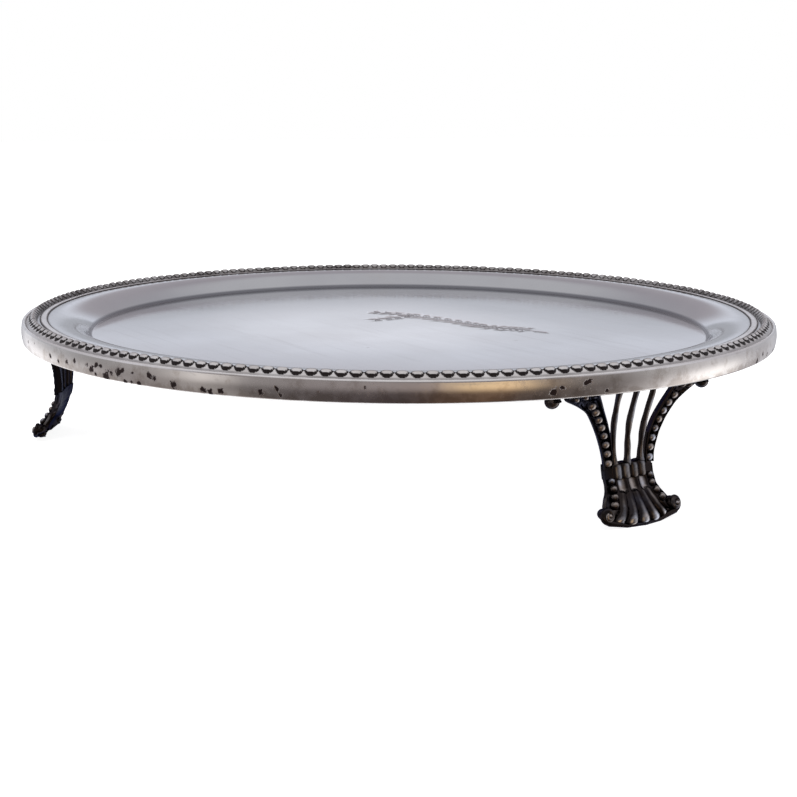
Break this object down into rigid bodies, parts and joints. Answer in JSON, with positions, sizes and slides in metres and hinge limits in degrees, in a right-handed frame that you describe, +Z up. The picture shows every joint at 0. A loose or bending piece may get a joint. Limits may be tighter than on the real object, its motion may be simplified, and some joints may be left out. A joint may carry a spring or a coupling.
{
  "type": "salver",
  "caption": "Round silver salver with a beaded edge and a flat field, raised on openwork bracket feet with shell-shaped toes.",
  "frame": {"origin": "on the table plane, under the centre of the dish", "axes": "+Z up out of the dish; foot 1 stands at -Y, foot 2 is 118.5 degrees on from it and foot 3 another 118.5 degrees, as the feet are set a little unevenly"},
  "size_m": [0.2032, 0.2032, 0.0374],
  "materials": {
    "dish": "polished sterling silver with fine hairlines and faint tarnish at the foot of the cavetto",
    "border": "worn polished silver, dark tarnish between the beads",
    "band": "polished silver with small pits and brown tarnish spots",
    "feet": "silver under near-black tarnish, bright where rubbed"
  },
  "bodies": {
    "root": {"tray_plate": "dish", "reed_border": "border", "bead_border": "border", "edge_band": "band", "foot_1_toe_shell": "feet", "foot_1_strap_left": "feet", "foot_1_strap_right": "feet", "foot_1_bar_left": "feet", "foot_1_bar_centre": "feet", "foot_1_bar_right": "feet", "foot_2_toe_shell": "feet", "foot_2_strap_left": "feet", "foot_2_strap_right": "feet", "foot_2_bar_left": "feet", "foot_2_bar_centre": "feet", "foot_2_bar_right": "feet", "foot_3_toe_shell": "feet", "foot_3_strap_left": "feet", "foot_3_strap_right": "feet", "foot_3_bar_left": "feet", "foot_3_bar_centre": "feet", "foot_3_bar_right": "feet"}
  },
  "joints": []
}
